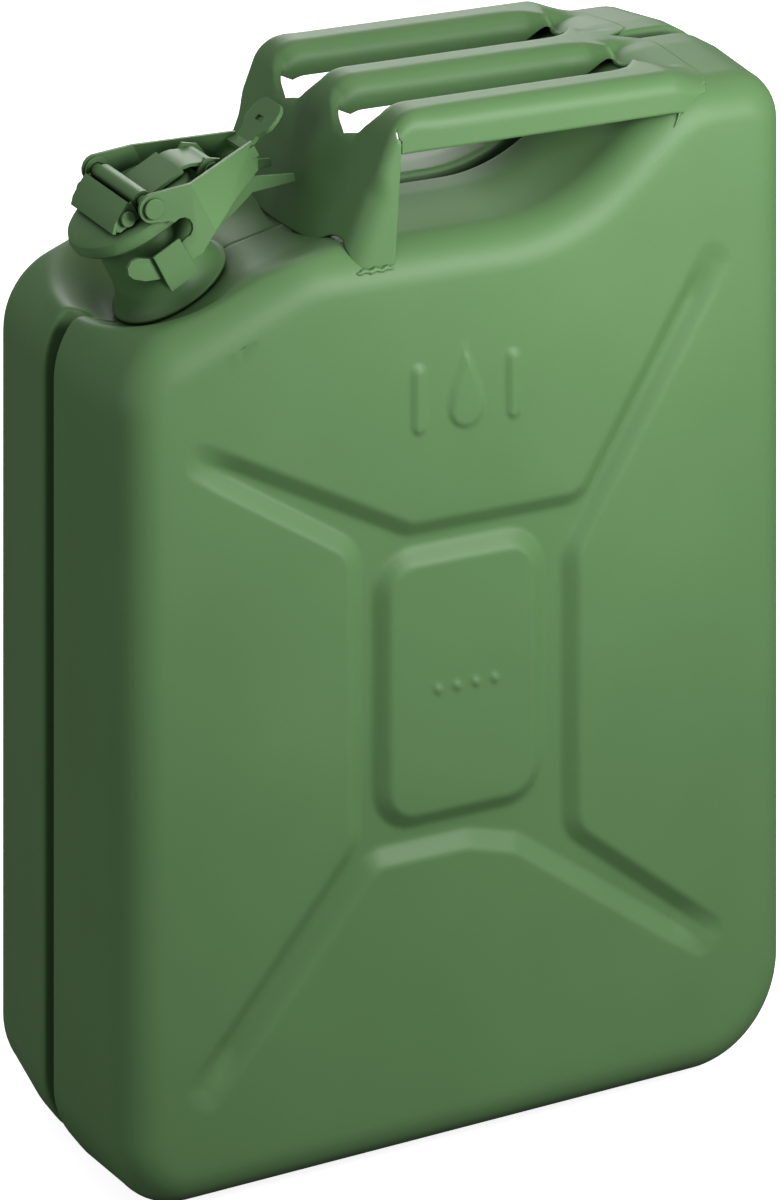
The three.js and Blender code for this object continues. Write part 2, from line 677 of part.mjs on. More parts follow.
piece("lid_bracket", lidBracket(), OLIVE, closure);
piece("lid_pin", headedPin(LID_PIVOT, 2, 24.4, 3.4, 2), OLIVE_DARK, closure);
const leverPinReach = LEVER_SPREAD + LEVER_SHEET + GAP;
piece("lever_pin", headedPin(LEVER_PIVOT, LEVER_PIN_RADIUS, leverPinReach, 4.6, 1.6), OLIVE_DARK, closure);
piece("lever_washer_near", washer(-1), OLIVE_DARK, closure);
piece("lever_washer_far", washer(1), OLIVE_DARK, closure);
piece("lever", lever(), OLIVE, closure);

export default can;
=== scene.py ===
"""A painted steel fuel can on a pale studio floor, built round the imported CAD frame.

Shapes are worked out in millimetres in the frame's own axes (X along the can's width, spout at -X, Y through
its depth, Z up) and turned into metres when a mesh is made. The neck and closure use a second, tilted frame:
u runs rearwards across the neck, y is the can's y, and h runs up the neck's axis.
"""

import json
import math

import bmesh
import bpy
import numpy as np
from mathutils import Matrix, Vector
from mathutils.geometry import delaunay_2d_cdt


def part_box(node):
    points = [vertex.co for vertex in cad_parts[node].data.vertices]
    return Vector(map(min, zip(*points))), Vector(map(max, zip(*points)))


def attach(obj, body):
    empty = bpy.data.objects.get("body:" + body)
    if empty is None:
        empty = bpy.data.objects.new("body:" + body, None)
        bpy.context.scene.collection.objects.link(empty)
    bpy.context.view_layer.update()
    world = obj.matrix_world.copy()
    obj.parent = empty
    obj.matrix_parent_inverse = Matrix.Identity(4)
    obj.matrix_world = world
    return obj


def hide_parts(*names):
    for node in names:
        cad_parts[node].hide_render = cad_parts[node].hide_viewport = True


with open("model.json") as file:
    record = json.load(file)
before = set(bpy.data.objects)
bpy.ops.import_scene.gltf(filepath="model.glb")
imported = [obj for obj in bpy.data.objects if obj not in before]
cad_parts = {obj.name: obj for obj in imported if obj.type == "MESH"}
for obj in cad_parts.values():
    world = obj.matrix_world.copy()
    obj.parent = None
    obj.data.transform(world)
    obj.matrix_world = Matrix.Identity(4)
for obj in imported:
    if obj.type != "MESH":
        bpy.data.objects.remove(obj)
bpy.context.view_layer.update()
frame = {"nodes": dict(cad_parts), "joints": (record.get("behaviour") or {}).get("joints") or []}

MM = 0.001

# ---------- sizes taken from the frame ----------
SHELL_LOW, SHELL_HIGH = (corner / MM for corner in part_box("front_shell"))
HANDLE_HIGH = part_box("handle_frame")[1] / MM
HALF_WIDTH = SHELL_HIGH.x
HALF_DEPTH = -SHELL_LOW.y
HUMP_TOP = SHELL_HIGH.z
HANDLE_TOP = HANDLE_HIGH.z
JOINT_AT = {j["name"]: Vector(j["pos_m"]) / MM for j in frame["joints"]}

# ---------- the can body, in millimetres ----------
SHOULDER_TOP = 416
SHOULDER_SLOPE = 0.4
SHOULDER_END = -80.5
BODY_CORNERS = [
    (-HALF_WIDTH, 0, 37),
    (HALF_WIDTH, 0, 52),
    (HALF_WIDTH, HUMP_TOP, 27),
    (112, HUMP_TOP, 50),
    (50, SHOULDER_TOP, 80),
    (SHOULDER_END, SHOULDER_TOP, 60),
    (-HALF_WIDTH, SHOULDER_TOP - SHOULDER_SLOPE * (SHOULDER_END + HALF_WIDTH), 40),
]
EDGE_ROUND = 20
DRAFT = 3.5
STRAIGHT_HALF = 22
SEAM_HALF = 5.5
SEAM_DEPTH = 11
LIP_ROUND = 2.5
SHEET = 0.9
PRESS_DEPTH = 5
PRESS_SLOPE = 7.5
PRESS_SOFT = 1.8
CROSS_SPREAD = 4.5
CROSS_CORNERS = [
    (-48, 141, 14),
    (0, 141, 30),
    (25, 134, 14),
    (121, 66, 3),
    (129, 73, 3),
    (52, 133, 16),
    (52, 260, 20),
    (133, 383, 4),
    (125, 388, 4),
    (58, 283, 14),
    (-30, 283, 14),
    (-137, 338, 3),
    (-135, 329, 3),
    (-56, 280, 16),
    (-56, 148, 18),
    (-136, 57, 3),
    (-128, 51, 3),
]
PANEL_MIDDLE = (-3.5, 212.3)
PANEL_HALF = (43.5, 63)
PANEL_ROUND = 20
CROSS_TIPS = [(-137, 335), (130, 386), (126, 68), (-133, 53)]
TIP_FADE = 26

# ---------- the neck frame ----------
NECK_TILT = math.radians(28.4)
REAR_PIVOT = (38, 40)
FLANGE_RADIUS = 28.5
BOWL_SLOPE = 0.9
BOWL_STRETCH = 1.3
BOWL_BLEND = 7
DISH_LINE = [(-167, 392), (-155, 380), (-130, 387), (-95, 395), (-60, 402.5), (-28, 419), (0, 440)]
DISH_HALF = 31
DISH_SLOPE = 0.34
DISH_BLEND = 5


def from_neck(u, y, h):
    """Turns neck-frame coordinates into the can's frame."""
    side, up = math.cos(NECK_TILT), math.sin(NECK_TILT)
    return Vector((NECK_FOOT.x + u * side - h * up, y, NECK_FOOT.z + u * up + h * side))


NECK_FOOT = Vector((0, 0, 0))
NECK_FOOT = JOINT_AT["lid_hinge"] - from_neck(REAR_PIVOT[0], 0, REAR_PIVOT[1])

# ---------- mesh helpers ----------


def make_mesh(name, verts, faces, smooth=True):
    mesh = bpy.data.meshes.new(name)
    mesh.from_pydata([tuple(Vector(v) * MM) for v in verts], [], faces)
    mesh.validate()
    mesh.polygons.foreach_set("use_smooth", [smooth] * len(mesh.polygons))
    piece = bpy.data.objects.new(name, mesh)
    bpy.context.scene.collection.objects.link(piece)
    return piece


def outward(piece, probe):
    """Makes the faces agree and turns them so that the face highest along probe looks along it."""
    bm = bmesh.new()
    bm.from_mesh(piece.data)
    bmesh.ops.recalc_face_normals(bm, faces=bm.faces)
    probe = Vector(probe)
    top = max(bm.faces, key=lambda f: f.calc_center_median().dot(probe) * abs(f.normal.dot(probe)))
    if top.normal.dot(probe) < 0:
        bmesh.ops.reverse_faces(bm, faces=bm.faces)
    bm.to_mesh(piece.data)
    bm.free()
    return piece


def weld_close(piece, distance):
    """Joins vertices that lie within distance millimetres."""
    bm = bmesh.new()
    bm.from_mesh(piece.data)
    bmesh.ops.remove_doubles(bm, verts=bm.verts, dist=distance * MM)
    bm.to_mesh(piece.data)
    bm.free()
    piece.data.polygons.foreach_set("use_smooth", [True] * len(piece.data.polygons))


def drop_slivers(piece, distance):
    """Removes faces that are thinner than distance millimetres without opening the surface."""
    bm = bmesh.new()
    bm.from_mesh(piece.data)
    bmesh.ops.dissolve_degenerate(bm, edges=bm.edges, dist=distance * MM)
    bm.to_mesh(piece.data)
    bm.free()


def thicken(piece, thickness):
    mod = piece.modifiers.new("sheet", "SOLIDIFY")
    mod.thickness = thickness * MM
    mod.offset = -1
    mod.use_quality_normals = True
    return piece


def finish_piece(piece, body, slot, material, *nodes):
    piece.data.materials.clear()
    piece.data.materials.append(material)
    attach(piece, body)
    if nodes:
        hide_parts(*nodes)
    return piece


def outline_of(corners, spacing):
    """Points and outward normals round a counter-clockwise polygon with rounded corners (x, z, radius)."""
    points, normals = [], []
    n = len(corners)
    at = [np.array(c[:2], float) for c in corners]
    way = [(at[(i + 1) % n] - at[i]) / np.linalg.norm(at[(i + 1) % n] - at[i]) for i in range(n)]
    for i, (_, _, radius) in enumerate(corners):
        before, after = way[i - 1], way[i]
        turn = math.atan2(before[0] * after[1] - before[1] * after[0], before @ after)
        reach = radius * math.tan(abs(turn) / 2)
        bend = math.copysign(1, turn)
        start = at[i] - before * reach
        centre = start + np.array([-before[1], before[0]]) * bend * radius
        first = math.atan2(start[1] - centre[1], start[0] - centre[0])
        steps = max(4, math.ceil(abs(turn) * radius / spacing))
        for k in range(steps + 1):
            angle = first + turn * k / steps
            ray = np.array([math.cos(angle), math.sin(angle)])
            points.append(centre + radius * ray)
            normals.append(ray * bend)
        end = at[i] + after * reach
        next_turn = way[(i + 1) % n]
        corner = corners[(i + 1) % n]
        angle = math.atan2(after[0] * next_turn[1] - after[1] * next_turn[0], after @ next_turn)
        stop = at[(i + 1) % n] - after * corner[2] * math.tan(abs(angle) / 2)
        count = max(1, math.ceil(np.linalg.norm(stop - end) / spacing))
        for k in range(1, count):
            points.append(end + (stop - end) * k / count)
            normals.append(np.array([after[1], -after[0]]))
    return np.array(points), np.array(normals)


def inside_distance(x, z, polygon):
    """Distance from each point to a closed polygon, positive inside."""
    point = np.stack([x, z], -1)[:, None, :]
    a = polygon[None]
    edge = np.roll(polygon, -1, 0)[None] - a
    share = np.clip(((point - a) * edge).sum(-1) / np.maximum((edge**2).sum(-1), 1e-9), 0, 1)
    gap = np.linalg.norm(point - a - edge * share[..., None], axis=-1).min(1)
    rise = (a[..., 1] > point[..., 1]) != (np.roll(polygon, -1, 0)[None, :, 1] > point[..., 1])
    slope = np.where(edge[..., 1] == 0, 1e-9, edge[..., 1])
    crossing = a[..., 0] + (point[..., 1] - a[..., 1]) * edge[..., 0] / slope
    inside = (rise & (point[..., 0] < crossing)).sum(1) % 2 == 1
    return np.where(inside, gap, -gap)


def ease(t):
    t = np.clip(t, 0, 1)
    return t * t * (3 - 2 * t)


def ramp(d, width, soft):
    """Straight slope from 0 to 1 over width, rounded over soft at its top and bottom."""
    fine = np.linspace(-soft, width + soft, 400)
    straight = np.clip(fine / width, 0, 1)
    kernel = np.hanning(max(3, int(400 * 2 * soft / (width + 2 * soft))))
    padded = np.pad(straight, len(kernel), mode="edge")
    rounded = np.convolve(padded, kernel / kernel.sum(), mode="same")[len(kernel) : -len(kernel)]
    return np.interp(d, fine, rounded)


# ---------- the shells ----------
CROSS, _ = outline_of(CROSS_CORNERS, 5)
PANEL, _ = outline_of(
    [
        (PANEL_MIDDLE[0] + sx * PANEL_HALF[0], PANEL_MIDDLE[1] + sz * PANEL_HALF[1], PANEL_ROUND)
        for sx, sz in ((-1, -1), (1, -1), (1, 1), (-1, 1))
    ],
    5,
)
MARK_MIDDLE = (-2, 342)
MARK_HEIGHT = 1.5
DOT_ROW = (-2, 211)


def drop_distance(x, z):
    """Inside distance of a plain drop shape: a disc with a cone above it."""
    dx, dz = x - MARK_MIDDLE[0], z - MARK_MIDDLE[1]
    radius = np.interp(dz, [-16, -6, 2, 20], [9.5, 9.5, 8, 0.5])
    disc = 9.5 - np.hypot(dx, dz + 7)
    cone = np.where((dz > -6) & (dz < 20), radius - np.abs(dx), -99)
    return np.maximum(disc, cone)


def pill_distance(x, z, middle_x, middle_z, half_length, radius):
    reach = np.clip(z - middle_z, -half_length, half_length)
    return radius - np.hypot(x - middle_x, z - middle_z - reach)


def mark_distance(x, z):
    ribs = [pill_distance(x, z, MARK_MIDDLE[0] + sx * 24, MARK_MIDDLE[1], 12, 4.2) for sx in (-1, 1)]
    dots = [pill_distance(x, z, DOT_ROW[0] + k * 9.5, DOT_ROW[1], 0, 2.8) for k in (-1.5, -0.5, 0.5, 1.5)]
    return np.max([drop_distance(x, z), *ribs, *dots], 0)


def face_relief(x, z):
    """How far the broad face lies behind its flat parts."""
    to_tip = np.min([np.hypot(x - tip_x, z - tip_z) for tip_x, tip_z in CROSS_TIPS], 0)
    depth = PRESS_DEPTH * (0.25 + 0.75 * ease(to_tip / TIP_FADE))
    cross = depth * ramp(inside_distance(x, z, CROSS) + CROSS_SPREAD, PRESS_SLOPE, PRESS_SOFT)
    panel = PRESS_DEPTH * ramp(inside_distance(x, z, PANEL), PRESS_SLOPE, PRESS_SOFT)
    mark = MARK_HEIGHT * ease(mark_distance(x, z) / 2.6)
    return cross - panel - mark


def bowl_height(x, y):
    """Height of the pressed bowl round the neck's foot."""
    u = (x - NECK_FOOT.x) / math.cos(NECK_TILT)
    floor = NECK_FOOT.z + (x - NECK_FOOT.x) * math.tan(NECK_TILT)
    over = np.hypot(u, y / BOWL_STRETCH) - FLANGE_RADIUS - 2
    rise = np.logaddexp(0, over / 2.0) * 2.0
    return floor + BOWL_SLOPE * rise


def dish_height(x, y):
    """Height of the dish in the shoulder between the neck and the handles."""
    line_x, line_z = zip(*DISH_LINE)
    floor = np.mean([np.interp(x + shift, line_x, line_z) for shift in (-10, -5, 0, 5, 10)], 0)
    over = np.abs(y) - DISH_HALF
    return floor + DISH_SLOPE * 3 * np.logaddexp(0, over / 3)


def dished(x, y, z):
    """The height z of the shells' top lowered into the dish and the bowl."""
    return smooth_min(smooth_min(z, dish_height(x, y), DISH_BLEND), bowl_height(x, y), BOWL_BLEND)


def smooth_min(a, b, blend):
    mix = np.clip(0.5 + 0.5 * (b - a) / blend, 0, 1)
    return b + (a - b) * mix - blend * mix * (1 - mix)


def shell_section():
    """(inset, y) from the near broad face round the edge and along the side down into the seam."""
    section = []
    for k in range(15):
        angle = math.pi / 2 * (1 - k / 14)
        inset = DRAFT + EDGE_ROUND * (1 - math.cos(angle))
        section.append((inset, -HALF_DEPTH + EDGE_ROUND * (1 - math.sin(angle))))
    start, stop = -HALF_DEPTH + EDGE_ROUND, -SEAM_HALF - LIP_ROUND
    for k in range(1, 25):
        y = start + (stop - start) * k / 24
        section.append((DRAFT * max(0, -y - STRAIGHT_HALF) / (-start - STRAIGHT_HALF), y))
    for k in range(1, 7):
        angle = math.pi / 2 * k / 6
        section.append((LIP_ROUND * (1 - math.cos(angle)), stop + LIP_ROUND * math.sin(angle)))
    section.append((SEAM_DEPTH * 0.5, -SEAM_HALF + 0.3))
    section.append((SEAM_DEPTH - 1, -SEAM_HALF + 1.5))
    section.append((SEAM_DEPTH, -SEAM_HALF + 3))
    section.append((SEAM_DEPTH, -0.3))
    return section


def shell_points():
    points, normals = outline_of(BODY_CORNERS, 4)
    rings = []
    for inset, y in shell_section():
        ring = points - normals * inset
        x, z = ring[:, 0], ring[:, 1].copy()
        on_top = (z > 300) & (x < 0)
        level = np.full_like(x, y)
        z[on_top] = dished(x, level, z)[on_top]
        rings.append(np.stack([x, np.full_like(x, y), z], 1))
    return rings


def face_points(border):
    """Lattice points inside the flat face's border, close together only at the pressings."""
    fine, coarse = 1.5, 7.5
    low, high = border.min(0), border.max(0)
    i, j = np.meshgrid(np.arange(0, (high[0] - low[0]) / fine), np.arange(0, (high[1] - low[1]) / fine))
    i, j = i.ravel(), j.ravel()
    x, z = low[0] + i * fine, low[1] + j * fine
    keep = inside_distance(x, z, border) > 3
    i, j, x, z = i[keep], j[keep], x[keep], z[keep]
    cross = inside_distance(x, z, CROSS)
    panel = inside_distance(x, z, PANEL)
    detail = (cross > -CROSS_SPREAD - 3) & (cross < PRESS_SLOPE)
    detail |= (panel > -3) & (panel < PRESS_SLOPE + 3)
    detail |= mark_distance(x, z) > -3
    step = round(coarse / fine)
    pick = detail | ((i % step == 0) & (j % step == 0))
    return np.stack([x[pick], z[pick]], 1)


def shell(name, side):
    rings = shell_points()
    count = len(rings[0])
    verts = [tuple(p) for ring in rings for p in ring]
    faces = []
    for r in range(len(rings) - 1):
        for i in range(count):
            j = (i + 1) % count
            faces.append((r * count + i, r * count + j, (r + 1) * count + j, (r + 1) * count + i))
    border = rings[0][:, [0, 2]]
    extra = face_points(border)
    flat = [Vector(p) for p in np.vstack([border, extra])]
    out, _, triangles, origin, _, _ = delaunay_2d_cdt(flat, [], [list(range(count))], 1, 1e-5, True)
    place = []
    offset = len(verts)
    relief = face_relief(extra[:, 0], extra[:, 1])
    verts += [(x, -HALF_DEPTH + d, z) for (x, z), d in zip(extra, relief)]
    for source in origin:
        place.append(source[0] if source[0] < count else offset + source[0] - count)
    middles = np.array([[sum(out[k][axis] for k in tri) / 3 for axis in (0, 1)] for tri in triangles])
    within = inside_distance(middles[:, 0], middles[:, 1], border) > 0
    faces += [tuple(place[k] for k in tri) for tri, keep in zip(triangles, within) if keep]
    hole = []
    for face in faces:
        middle = np.mean([verts[k] for k in face], 0)
        u = (middle[0] - NECK_FOOT.x) * math.cos(NECK_TILT) + (middle[2] - NECK_FOOT.z) * math.sin(NECK_TILT)
        near_neck = math.hypot(u, middle[1]) < 22 and middle[2] > 350
        hole.append(near_neck and middle[0] < -60)
    faces = [face for face, cut in zip(faces, hole) if not cut]
    if side > 0:
        verts = [(x, -y, z) for x, y, z in verts]
    piece = make_mesh(name, verts, faces)
    drop_slivers(piece, 0.02)
    outward(piece, (0, side, 0))
    return thicken(piece, SHEET)


def seam_bead():
    """A lumpy weld bead that follows the bottom of the seam."""
    points, normals = outline_of(BODY_CORNERS, 3)
    around = 10
    verts, faces = [], []
    for i, (p, n) in enumerate(zip(points, normals)):
        swell = 2.2 + 0.25 * math.sin(i * 1.9) + 0.12 * math.sin(i * 0.7)
        for k in range(around):
            angle = 2 * math.pi * k / around
            inset = SEAM_DEPTH - 0.4 - swell * math.sin(angle) * 0.9
            x, z = p - n * inset
            if x < -30 and z > 300:
                z = min(z, float(dished(x, 0.0, z)) - 3)
            verts.append((x, swell * math.cos(angle), z))
    count = len(points)
    for i in range(count):
        j = (i + 1) % count
        for k in range(around):
            m = (k + 1) % around
            faces.append((i * around + k, j * around + k, j * around + m, i * around + m))
    return outward(make_mesh("seam_bead", verts, faces), (0, 0, 1))


# ---------- the handle frame ----------
HANDLE_PITCH = 61.7
GRIP_HALF = 13.3
GRIP_ROUND = 9
CORNER_ROUND = 5.5
RIM_DEPTH = 3.5
GRIP_DEPTH = 15
OUTER_EDGE = 452
LEG_ROUND = 11
HANDLE_SHEET = 1.5
PLATE_LEAN = 0.4
PLATE_FOOT_X = -59.5
PLATE_FOOT_Z = 406
BEND_RADIUS = 18
SLOT_BOTTOM = 451.3
SLOT_END = 108
FRONT_TAPER = 14
REAR_TAPER = 26
HANDLE_REAR = 131
WALL_END = 107
NOTCH_HALF = 11
INNER_CORNER = (-33.3, OUTER_EDGE)
LEG_BACK_LEAN = 0.065
BEND_DROP = 11.4
SLIT_OFFSET = 1.5
NOTCH_DEPTH = 15
JOIN_GAP = 0.8
SHEET_ROWS = 230
WEB_SINK = 12


def open_path(corners, spacing):
    """Points along a polyline with rounded inner corners (x, z, radius)."""
    at = [np.array(c[:2], float) for c in corners]
    points = [at[0]]
    for i in range(1, len(corners)):
        target = at[i]
        if i + 1 < len(corners):
            before = (at[i] - at[i - 1]) / np.linalg.norm(at[i] - at[i - 1])
            after = (at[i + 1] - at[i]) / np.linalg.norm(at[i + 1] - at[i])
            turn = math.atan2(before[0] * after[1] - before[1] * after[0], before @ after)
            radius = corners[i][2]
            reach = radius * math.tan(abs(turn) / 2)
            target = at[i] - before * reach
        last = points[-1]
        count = max(1, math.ceil(np.linalg.norm(target - last) / spacing))
        points += [last + (target - last) * k / count for k in range(1, count + 1)]
        if i + 1 < len(corners):
            centre = target + np.array([-before[1], before[0]]) * math.copysign(radius, turn)
            first = math.atan2(target[1] - centre[1], target[0] - centre[0])
            steps = max(3, math.ceil(abs(turn) * radius / spacing))
            for k in range(1, steps + 1):
                angle = first + turn * k / steps
                points.append(centre + radius * np.array([math.cos(angle), math.sin(angle)]))
    return np.array(points)


def plate_x(z):
    return PLATE_FOOT_X + (z - PLATE_FOOT_Z) * PLATE_LEAN


def side_levels():
    """(distance from the middle, inset) of the shells' section outside the seam, in growing order."""
    levels = [(-y, inset) for inset, y in shell_section() if y < -SEAM_HALF - LIP_ROUND]
    return np.array(sorted(levels))


def top_height(x, y):
    """Height of the shells' upper surface over a point, away from the seam."""
    inset = np.interp(abs(y), LEVELS[:, 0], LEVELS[:, 1])
    points = TOP_LINE[0] - TOP_LINE[1] * inset
    z = float(np.interp(x, points[:, 0], points[:, 1]))
    return float(dished(x, y, z)) if x < 0 else z


def upper_line():
    """The shells' outline from the shoulder over the hump, in order of growing x."""
    points, normals = outline_of(BODY_CORNERS, 1.5)
    upper = (points[:, 1] > 360) & (normals[:, 1] > 0.15)
    points, normals = points[upper], normals[upper]
    order = np.argsort(points[:, 0])
    return points[order], normals[order]


TOP_LINE = upper_line()
LEVELS = side_levels()


def slot_share(s, taper):
    """How far a slot between two grips has opened, s millimetres from its rounded end."""
    left = 1 - min(max(s / taper, 0), 1)
    return math.sqrt(1 - left * left)


def grip_columns():
    """(zone, share) places across one side of a grip, from its middle to its wall's edge."""
    top = [("top", t) for t in np.linspace(0, 1, 5)]
    bend = [("round", t) for t in np.linspace(0, 1, 8)[1:]]
    wall = [("wall", t) for t in np.linspace(0, 1, 8)[1:]]
    return top + bend + wall


def folded(zone, t, half, radius, depth):
    """Across and down distances of a place on a grip's section."""
    if zone == "top":
        return (half - radius) * t, 0.0
    if zone == "round":
        angle = math.pi / 2 * t
        return half - radius + radius * math.sin(angle), radius * (1 - math.cos(angle))
    return half, radius + (depth - radius) * t


def handle_sheet():
    """One folded sheet: a slanted front plate with two legs, three grips and a web on the hump."""
    path = open_path(
        [
            (plate_x(398), 398, 0),
            (plate_x(HANDLE_TOP), HANDLE_TOP, BEND_RADIUS),
            (106, HANDLE_TOP, 60),
            (HANDLE_REAR, HUMP_TOP + HANDLE_SHEET + 0.3, 0),
        ],
        1.2,
    )
    run = np.concatenate([[0], np.cumsum(np.linalg.norm(np.diff(path, axis=0), axis=1))])
    way = np.gradient(path, axis=0)
    angles = np.unwrap(np.arctan2(way[:, 1], way[:, 0]))
    total = run[-1]
    rising = path[:, 0] < 0
    slot_low = float(np.interp(SLOT_BOTTOM, path[rising, 1], run[rising]))
    slot_high = float(np.interp(SLOT_END, path[:, 0], run))
    bend_first = float(np.interp(plate_x(HANDLE_TOP - BEND_DROP), path[:, 0], run))
    bend_last = bend_first + BEND_RADIUS * (math.pi / 2 - math.atan(PLATE_LEAN))
    slit_run = bend_first + SLIT_OFFSET
    corner_run = float(np.interp(OUTER_EDGE, path[rising, 1], run[rising]))
    middle = HANDLE_PITCH / 2
    spread = middle - GRIP_HALF

    def on_path(s):
        at = np.array([np.interp(s, run, path[:, 0]), np.interp(s, run, path[:, 1])])
        angle = float(np.interp(s, run, angles))
        return at, np.array([math.sin(angle), -math.cos(angle)])

    def lowest(y, clearance):
        """Where on the path the front plate meets the shoulder."""
        z = SHOULDER_TOP
        for _ in range(4):
            z = top_height(plate_x(z), y) + clearance
        return float(np.interp(z, path[rising, 1], run[rising]))

    def outer_edge(s):
        """The free edge of an outer wall: up the leg's back, round the inner corner, along the grip."""
        back_x, corner_z = INNER_CORNER
        if s < corner_run:
            z = on_path(s)[0][1]
            return np.array([back_x + (z - corner_z) * LEG_BACK_LEAN, z])
        if s < slit_run:
            return np.array(INNER_CORNER, float)
        share = min((s - slit_run) / (bend_last + 12 - slit_run), 1)
        x = on_path(max(s, bend_last + 12))[0][0]
        return np.array([back_x + (x - back_x) * share, OUTER_EDGE])

    def outer_place(i, sign, zone, t, s):
        at, down = on_path(s)
        leg = 1 - float(ease((s - corner_run + 20) / 14))
        along = float(ease((s - slit_run) / 30))
        radius = CORNER_ROUND + (LEG_ROUND - CORNER_ROUND) * leg + (GRIP_ROUND - CORNER_ROUND) * along
        across, depth = folded(zone, t if zone != "wall" else 0, GRIP_HALF, radius, GRIP_DEPTH)
        place = at + down * depth
        if zone == "wall":
            place = place + (outer_edge(s) - place) * t
        return place, i * HANDLE_PITCH + sign * across

    def inner_place(i, sign, zone, t, s):
        at, down = on_path(s)
        front = s < total / 2
        inside = s - slot_low if front else slot_high - s
        half = middle - spread * slot_share(inside, FRONT_TAPER if front else REAR_TAPER)
        if front:
            deep = max(RIM_DEPTH, at[1] - (HANDLE_TOP - GRIP_DEPTH) + RIM_DEPTH * (1 - down[0]) * -down[1])
            deep = min(deep, GRIP_DEPTH)
        else:
            deep = RIM_DEPTH + (GRIP_DEPTH - RIM_DEPTH) * float(ease(inside / 18))
        across, depth = folded(zone, t, half, min(GRIP_ROUND, deep * 0.8), deep)
        rim = min(depth, RIM_DEPTH)
        start, reach = {"top": (0, 0.45), "round": (0.45, 0.25), "wall": (0.7, 0.3)}[zone]
        wide = middle * (start + reach * t)
        if front:
            level = RIM_DEPTH * float(ease((wide - 6) / (middle - 6)) * (1 - ease((s - slot_low + 22) / 22)))
        else:
            level = WEB_SINK * float(ease((wide - 8) / (middle - 14)))
        rolled = float(ease((inside + 2) / 7))
        folded_place = at + down * rim + np.array([0, rim - depth])
        place = (at + down * level) * (1 - rolled) + folded_place * rolled
        return place, i * HANDLE_PITCH + sign * (wide + (across - wide) * rolled)

    columns = []
    for i in (-1, 0, 1):
        for sign in (-1, 1):
            side = [(i, sign, zone, t) for zone, t in grip_columns()]
            columns.append(side if sign > 0 else side[::-1][:-1])
    flat_columns = [column for group in columns for column in group]
    limits = []
    for i, sign, zone, t in flat_columns:
        outer = sign == i
        y = (outer_place if outer else inner_place)(i, sign, zone, t, 10)[1]
        first = lowest(y, 0.5 if outer and zone != "top" else 1.8)
        notch = NOTCH_DEPTH * max(0, 1 - abs(y) / NOTCH_HALF)
        limits.append((first, total - notch - 4 * float(ease((abs(y) - 58) / 17))))
    stations = np.linspace(0, 1, SHEET_ROWS)
    grid = []
    for station in stations:
        row = []
        for (i, sign, zone, t), (first, last) in zip(flat_columns, limits):
            outer = sign == i
            s = first + (last - first) * station
            place, y = (outer_place if outer else inner_place)(i, sign, zone, t, s)
            if place[0] > 60:
                run_out = float(ease((place[0] - WALL_END) / (HANDLE_REAR - WALL_END)))
                if outer:
                    y -= sign * 4 * run_out * max(0, abs(y) - HANDLE_PITCH) / GRIP_HALF
                surface = top_height(place[0], y) + (HANDLE_SHEET + 0.2) * (1 - run_out) + 0.05
                if outer and zone == "wall":
                    place[1] += (surface - t * (GRIP_DEPTH - GRIP_ROUND) - place[1]) * run_out
                else:
                    place[1] = max(place[1] + (surface - place[1]) * run_out, surface)
            elif outer and zone == "wall":
                place[1] = max(place[1], top_height(place[0], y) + 0.3)
            row.append((place[0], y, place[1]))
        grid.append(row)
    width = len(grid[0])
    verts = [p for row in grid for p in row]
    joins = {len(columns[0]) + len(columns[1]) - 1, sum(len(group) for group in columns[:4]) - 1}
    side_walls = {
        c
        for c, (i, sign, zone, t) in enumerate(flat_columns)
        if sign == i and (zone == "wall" or (zone == "round" and t > 0.3))
    }
    first, last = limits[0]
    slit = round((slit_run - first) / (last - first) * (len(stations) - 1))
    faces = []
    for r in range(len(grid) - 1):
        for c in range(width - 1):
            gaps = [abs(row[c][1] - row[c + 1][1]) for row in (grid[r], grid[r + 1])]
            if c in joins and max(gaps) > JOIN_GAP:
                continue
            if r == slit and c in side_walls and c + 1 in side_walls:
                continue
            faces.append((r * width + c, r * width + c + 1, (r + 1) * width + c + 1, (r + 1) * width + c))
    piece = make_mesh("handle_frame_sheet", verts, faces)
    weld_close(piece, 0.05)
    outward(piece, (0, 0, 1))
    return thicken(piece, HANDLE_SHEET)


def weld_lines():
    """Lumpy weld beads where the handle's outer walls stand on the shells."""
    verts, faces = [], []
    around = 8
    for side in (-1, 1):
        for first, last in ((-56, -37), (WALL_END, HANDLE_REAR - 2)):
            steps = round((last - first) / 0.8)
            offset = len(verts)
            for k in range(steps + 1):
                x = first + (last - first) * k / steps
                wander = 0.2 * math.sin(k * 0.9)
                y = side * (75.4 - 9 * max(0, (x - WALL_END) / (HANDLE_REAR - WALL_END)) + wander)
                z = top_height(x, y) - 0.5
                size = 1.2 + 0.2 * math.sin(k * 0.8 + side) + 0.12 * math.sin(k * 2.3)
                size *= math.sqrt(max(0.05, 1 - (2 * k / steps - 1) ** 4))
                for m in range(around):
                    angle = 2 * math.pi * m / around
                    verts.append((x, y + size * math.cos(angle), z + 0.6 + size * math.sin(angle)))
            for k in range(steps):
                for m in range(around):
                    n = (m + 1) % around
                    a, b = offset + k * around, offset + (k + 1) * around
                    faces.append((a + m, b + m, b + n, a + n))
            for end in (offset, offset + steps * around):
                faces.append(tuple(end + m for m in range(around)))
    piece = make_mesh("weld_spots", verts, faces)
    return outward(piece, (0, 0, 1))


# ---------- turned pieces round the neck's axis ----------


